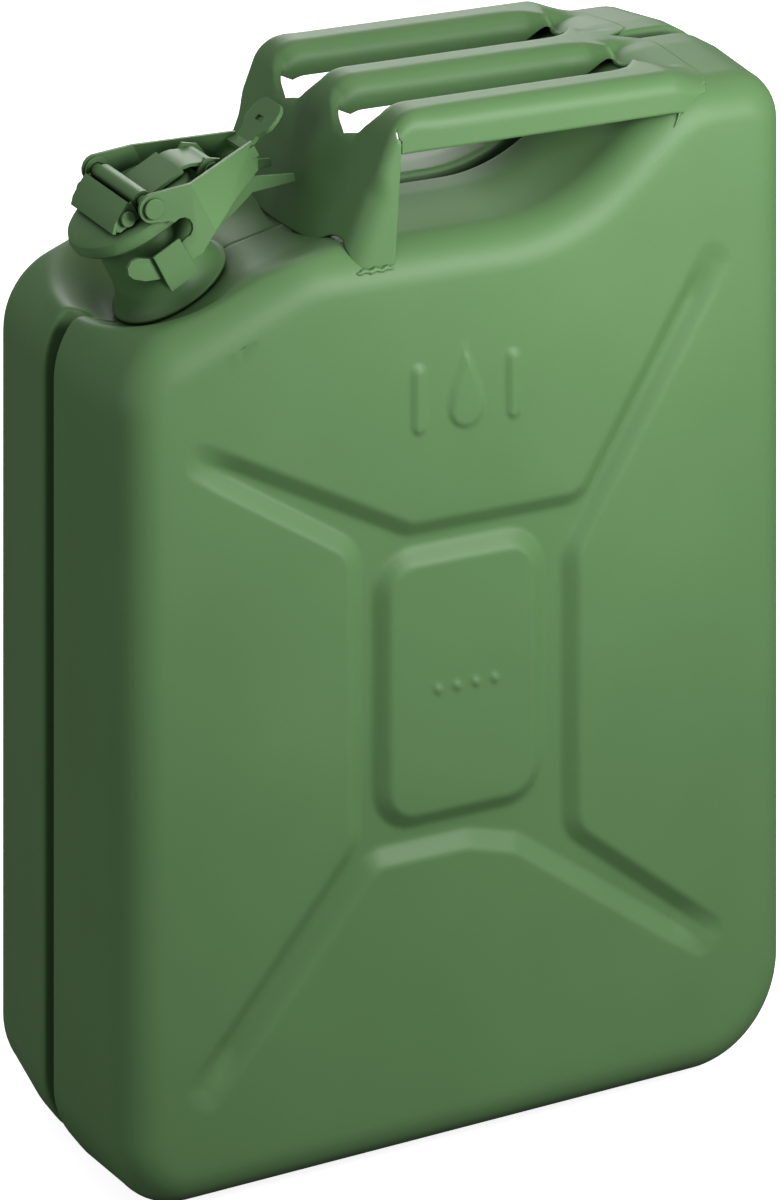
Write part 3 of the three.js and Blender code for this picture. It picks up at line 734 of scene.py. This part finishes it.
def turned(name, profile, steps=96):
    """A closed profile of (radius, height) turned round the neck's axis."""
    verts, faces = [], []
    count = len(profile)
    for k in range(steps):
        angle = 2 * math.pi * k / steps
        for radius, height in profile:
            verts.append(from_neck(radius * math.cos(angle), radius * math.sin(angle), height))
    for k in range(steps):
        m = (k + 1) % steps
        for i in range(count):
            j = (i + 1) % count
            faces.append((k * count + i, k * count + j, m * count + j, m * count + i))
    piece = make_mesh(name, verts, faces)
    weld_close(piece, 0.01)
    bevel = piece.modifiers.new("soft_edges", "BEVEL")
    bevel.width = 0.5 * MM
    bevel.segments = 3
    bevel.limit_method = "ANGLE"
    bevel.angle_limit = math.radians(28)
    return outward(piece, (-0.48, 0, 0.88))


def neck_piece():
    outer = 22
    return turned(
        "filler_neck",
        [
            (19.5, -6),
            (21, -6),
            (21, 0.3),
            (27.8, 0.3),
            (28.5, 1.2),
            (28.3, 2.3),
            (26.6, 3.4),
            (24.6, 5.6),
            (23.3, 9),
            (22.4, 13),
            (outer, 17),
            (outer, 39),
            (21.1, 40),
            (20, 40),
            (19.5, 39),
        ],
    )


def lid_piece():
    r = 30.8
    return turned(
        "lid_cap",
        [
            (r - 2.2, 37.5),
            (r - 0.4, 39.2),
            (r, 42),
            (r - 0.8, 44.6),
            (r - 3, 46.2),
            (r - 7, 46.9),
            (14, 47.2),
            (0.01, 47.2),
            (0.01, 45.8),
            (14, 45.8),
            (r - 5.4, 45.3),
            (r - 2.2, 43.6),
            (r - 1.6, 42),
            (r - 3.6, 37.5),
        ],
    )


# ---------- materials ----------


def node_material(name):
    material = bpy.data.materials.new(name)
    material.use_nodes = True
    tree = material.node_tree
    shader = tree.nodes["Principled BSDF"]
    return material, tree, shader


def painted(name, colour, dark, roughness, grain=1.0):
    """Stove enamel on pressed steel: cloudy colour, orange peel, low dents, a painted highlight on sharp
    convex edges and painted shade in the hollows.
    """
    material, tree, shader = node_material(name)
    nodes, links = tree.nodes, tree.links
    place = nodes.new("ShaderNodeTexCoord")
    cloud = nodes.new("ShaderNodeTexNoise")
    cloud.inputs["Scale"].default_value = 9
    cloud.inputs["Detail"].default_value = 4
    links.new(place.outputs["Object"], cloud.inputs["Vector"])
    ramp = nodes.new("ShaderNodeValToRGB")
    ramp.color_ramp.elements[0].position = 0.3
    ramp.color_ramp.elements[0].color = (*dark, 1)
    ramp.color_ramp.elements[1].position = 0.7
    ramp.color_ramp.elements[1].color = (*colour, 1)
    links.new(cloud.outputs["Fac"], ramp.inputs["Fac"])
    # painted highlight: sharp convex edges, found by pointiness, get a lighter copy of the green
    edge_sharpness = nodes.new("ShaderNodeNewGeometry")
    edge = nodes.new("ShaderNodeMapRange")
    edge.inputs["From Min"].default_value = 0.52
    edge.inputs["From Max"].default_value = 0.62
    edge.inputs["To Max"].default_value = 0.25
    links.new(edge_sharpness.outputs["Pointiness"], edge.inputs["Value"])
    mix = nodes.new("ShaderNodeMixRGB")
    mix.inputs["Color2"].default_value = (*(min(1, c * 1.6 + 0.02) for c in colour), 1)
    links.new(edge.outputs["Result"], mix.inputs["Fac"])
    links.new(ramp.outputs["Color"], mix.inputs["Color1"])
    # painted shade: ambient occlusion darkens the colour in hollows, creases, slots and gaps between parts
    hollow = nodes.new("ShaderNodeAmbientOcclusion")
    hollow.samples = 8
    hollow.inputs["Distance"].default_value = 16 * MM
    shade = nodes.new("ShaderNodeMapRange")
    shade.inputs["From Min"].default_value = 0.15
    shade.inputs["From Max"].default_value = 0.85
    shade.inputs["To Min"].default_value = 0.12
    links.new(hollow.outputs["AO"], shade.inputs["Value"])
    painted_hollow_shade = nodes.new("ShaderNodeMixRGB")
    painted_hollow_shade.blend_type = "MULTIPLY"
    painted_hollow_shade.inputs["Fac"].default_value = 1
    links.new(mix.outputs["Color"], painted_hollow_shade.inputs["Color1"])
    links.new(shade.outputs["Result"], painted_hollow_shade.inputs["Color2"])
    links.new(painted_hollow_shade.outputs["Color"], shader.inputs["Base Color"])
    peel = nodes.new("ShaderNodeTexNoise")
    peel.inputs["Scale"].default_value = 420
    peel.inputs["Detail"].default_value = 3
    links.new(place.outputs["Object"], peel.inputs["Vector"])
    dents = nodes.new("ShaderNodeTexNoise")
    dents.inputs["Scale"].default_value = 14
    dents.inputs["Detail"].default_value = 1
    links.new(place.outputs["Object"], dents.inputs["Vector"])
    low = nodes.new("ShaderNodeBump")
    low.inputs["Strength"].default_value = 0.12
    low.inputs["Distance"].default_value = 2 * MM
    links.new(dents.outputs["Fac"], low.inputs["Height"])
    fine = nodes.new("ShaderNodeBump")
    fine.inputs["Strength"].default_value = 0.16 * grain
    fine.inputs["Distance"].default_value = 0.3 * MM
    links.new(peel.outputs["Fac"], fine.inputs["Height"])
    links.new(low.outputs["Normal"], fine.inputs["Normal"])
    links.new(fine.outputs["Normal"], shader.inputs["Normal"])
    rough = nodes.new("ShaderNodeMapRange")
    rough.inputs["To Min"].default_value = roughness - 0.06
    rough.inputs["To Max"].default_value = roughness + 0.08
    links.new(cloud.outputs["Fac"], rough.inputs["Value"])
    links.new(rough.outputs["Result"], shader.inputs["Roughness"])
    shader.inputs["Specular IOR Level"].default_value = 0.35
    return material


def rubber_material():
    material, tree, shader = node_material("nitrile_rubber")
    nodes, links = tree.nodes, tree.links
    noise = nodes.new("ShaderNodeTexNoise")
    noise.inputs["Scale"].default_value = 300
    ramp = nodes.new("ShaderNodeValToRGB")
    ramp.color_ramp.elements[0].color = (0.010, 0.010, 0.009, 1)
    ramp.color_ramp.elements[1].color = (0.024, 0.024, 0.022, 1)
    bump = nodes.new("ShaderNodeBump")
    bump.inputs["Distance"].default_value = 0.2 * MM
    bump.inputs["Strength"].default_value = 0.3
    links.new(noise.outputs["Fac"], ramp.inputs["Fac"])
    links.new(ramp.outputs["Color"], shader.inputs["Base Color"])
    links.new(noise.outputs["Fac"], bump.inputs["Height"])
    links.new(bump.outputs["Normal"], shader.inputs["Normal"])
    shader.inputs["Roughness"].default_value = 0.75
    return material


def steel_material():
    material, tree, shader = node_material("tinned_steel")
    nodes, links = tree.nodes, tree.links
    noise = nodes.new("ShaderNodeTexNoise")
    noise.inputs["Scale"].default_value = 120
    rough = nodes.new("ShaderNodeMapRange")
    rough.inputs["To Min"].default_value = 0.3
    rough.inputs["To Max"].default_value = 0.55
    links.new(noise.outputs["Fac"], rough.inputs["Value"])
    links.new(rough.outputs["Result"], shader.inputs["Roughness"])
    shader.inputs["Base Color"].default_value = (0.42, 0.43, 0.41, 1)
    shader.inputs["Metallic"].default_value = 0.9
    return material


GREEN = (0.116, 0.238, 0.092)
GREEN_DEEP = (0.103, 0.214, 0.082)
paint = painted("olive_enamel", GREEN, GREEN_DEEP, 0.5)
paint_closure = painted("olive_enamel_fittings", GREEN, GREEN_DEEP, 0.46, grain=0.7)
# painted shade: the seam bead gets a darker green that stands in for the shade deep in the seam groove
paint_weld_shaded = painted("olive_enamel_on_weld_painted_shade", (0.075, 0.165, 0.065), (0.055, 0.13, 0.05), 0.48, grain=1.6)
# painted shade: the grip liners under the grips get a near-black copy of the green enamel, standing in for
# the shade there
paint_liner_shaded = painted("olive_enamel_on_liner_painted_shade", (0.04, 0.1, 0.045), (0.02, 0.055, 0.025), 0.22, grain=2.5)
rubber = rubber_material()
steel = steel_material()

# ---------- the pieces ----------
finish_piece(shell("shell_front_skin", -1), "can", "olive_paint", paint, "front_shell")
finish_piece(shell("shell_rear_skin", 1), "can", "olive_paint", paint, "rear_shell")
finish_piece(seam_bead(), "can", "weld_paint", paint_weld_shaded, "seam_weld")
finish_piece(handle_sheet(), "can", "olive_paint", paint, "handle_frame")
finish_piece(weld_lines(), "can", "weld_paint", paint)
finish_piece(neck_piece(), "can", "olive_paint", paint_closure, "neck")
finish_piece(lid_piece(), "lid", "olive_paint", paint_closure, "lid")


def refined(node, slot, material, body, bevel_mm):
    """The CAD node's own shape, with flat faces joined up, small rounded edges and smooth round surfaces."""
    source = frame["nodes"][node]
    piece = bpy.data.objects.new(node + "_fine", source.data.copy())
    bpy.context.scene.collection.objects.link(piece)
    bm = bmesh.new()
    bm.from_mesh(piece.data)
    bmesh.ops.remove_doubles(bm, verts=bm.verts, dist=0.01 * MM)
    bmesh.ops.dissolve_limit(bm, angle_limit=math.radians(1), verts=bm.verts, edges=bm.edges)
    for edge in bm.edges:
        edge.smooth = len(edge.link_faces) == 2 and edge.calc_face_angle(0) < math.radians(30)
    for face in bm.faces:
        face.smooth = True
    bm.to_mesh(piece.data)
    bm.free()
    if bevel_mm:
        bevel = piece.modifiers.new("soft_edges", "BEVEL")
        bevel.width = bevel_mm * MM
        bevel.segments = 3
        bevel.limit_method = "ANGLE"
        bevel.angle_limit = math.radians(32)
        bevel.harden_normals = True
    return finish_piece(piece, body, slot, material, node)


for node, bevel_mm in (("strap_near", 0.4), ("strap_far", 0.4), ("hinge_bracket", 0.35), ("hinge_pin", 0.5)):
    refined(node, "olive_paint", paint_closure, "can", bevel_mm)
for node, bevel_mm in (("hinge_arm", 0.4), ("lid_bracket", 0.4), ("lid_pin", 0.6)):
    refined(node, "olive_paint", paint_closure, "lid", bevel_mm)
for node, bevel_mm in (
    ("lever", 0.45),
    ("lever_pin", 0.6),
    ("lever_washer_near", 0.2),
    ("lever_washer_far", 0.2),
):
    refined(node, "olive_paint", paint_closure, "lever", bevel_mm)
for node in ("grip_liner_near", "grip_liner_middle", "grip_liner_far"):
    refined(node, "weld_paint", paint_liner_shaded, "can", 0.9)
refined("gasket", "rubber", rubber, "lid", 0.3)
refined("vent_tube", "bare_steel", steel, "can", 0)

# ---------- floor, light and camera ----------


def camera_only(tree, seen, lit):
    """A value that is one number for the camera and another for light that bounces."""
    ray = tree.nodes.new("ShaderNodeLightPath")
    choice = tree.nodes.new("ShaderNodeMapRange")
    choice.inputs["To Min"].default_value = lit
    choice.inputs["To Max"].default_value = seen
    tree.links.new(ray.outputs["Is Camera Ray"], choice.inputs["Value"])
    return choice.outputs["Result"]


def studio():
    world = bpy.data.worlds.new("studio")
    bpy.context.scene.world = world
    world.use_nodes = True
    background = world.node_tree.nodes["Background"]
    background.inputs["Color"].default_value = (1, 1, 1, 1)
    world.node_tree.links.new(camera_only(world.node_tree, 1.0, AMBIENT), background.inputs["Strength"])
    bpy.ops.mesh.primitive_plane_add(size=14, location=(0, 0, -0.0005))
    floor = bpy.context.object
    floor.name = "studio_floor"
    material, tree, shader = node_material("pale_floor")
    tree.links.new(camera_only(tree, FLOOR_SEEN, FLOOR_LIT), shader.inputs["Base Color"])
    shader.inputs["Roughness"].default_value = 0.8
    shader.inputs["Emission Color"].default_value = (1, 1, 1, 1)
    tree.links.new(camera_only(tree, FLOOR_GLOW, 0.0), shader.inputs["Emission Strength"])
    floor.data.materials.append(material)
    for name, place, aim, size, power, colour in LIGHTS:
        data = bpy.data.lights.new(name, "AREA")
        data.size = size
        data.energy = power
        data.color = colour
        lamp = bpy.data.objects.new(name, data)
        lamp.location = place
        lamp.rotation_euler = (Vector(aim) - Vector(place)).to_track_quat("-Z", "Y").to_euler()
        bpy.context.scene.collection.objects.link(lamp)


AMBIENT = 0.3
FLOOR_GLOW = 0.86
FLOOR_SEEN = 0.86
FLOOR_LIT = 0.15
LIGHTS = [
    ("key", (0.5, -0.8, 0.55), (0.05, -0.05, 0.36), 0.3, 2.9, (1, 1, 0.98)),
    ("near", (0.15, -0.55, 0.62), (0.05, -0.05, 0.4), 0.25, 3.0, (1, 1, 0.97)),
    ("sky", (0.1, 0.35, 1.7), (0, 0, 0.4), 1.0, 2.4, (1, 1, 0.72)),
    ("side", (-2.4, -0.3, 0.9), (0, 0, 0.3), 1.0, 7, (0.95, 1, 0.97)),
    ("back", (0.8, 2.0, 1.2), (0, 0, 0.3), 1.0, 14, (1, 1, 1)),
]

CAMERA_PLACE = (-0.95844, -1.90488, 1.07135)
CAMERA_YAW = math.radians(26.685)
CAMERA_LENS = 137.66
CAMERA_SHIFT = -1.526


def main_camera():
    """A level lens shifted down, as in a view camera, so that the can's upright edges stay upright."""
    data = bpy.data.cameras.new("camera")
    data.lens = CAMERA_LENS
    data.clip_end = 100
    camera = bpy.data.objects.new("camera", data)
    camera.location = CAMERA_PLACE
    camera.rotation_euler = (math.pi / 2, 0, -CAMERA_YAW)
    bpy.context.scene.collection.objects.link(camera)
    bpy.context.scene.camera = camera
    shift = data.driver_add("shift_y").driver
    place = shift.variables.new()
    place.name = "x"
    place.type = "TRANSFORMS"
    place.targets[0].id = camera
    place.targets[0].transform_type = "LOC_X"
    shift.expression = f"{CAMERA_SHIFT} * (abs(x - ({CAMERA_PLACE[0]})) < 0.001)"


studio()
main_camera()
bpy.context.scene.view_settings.view_transform = "Standard"
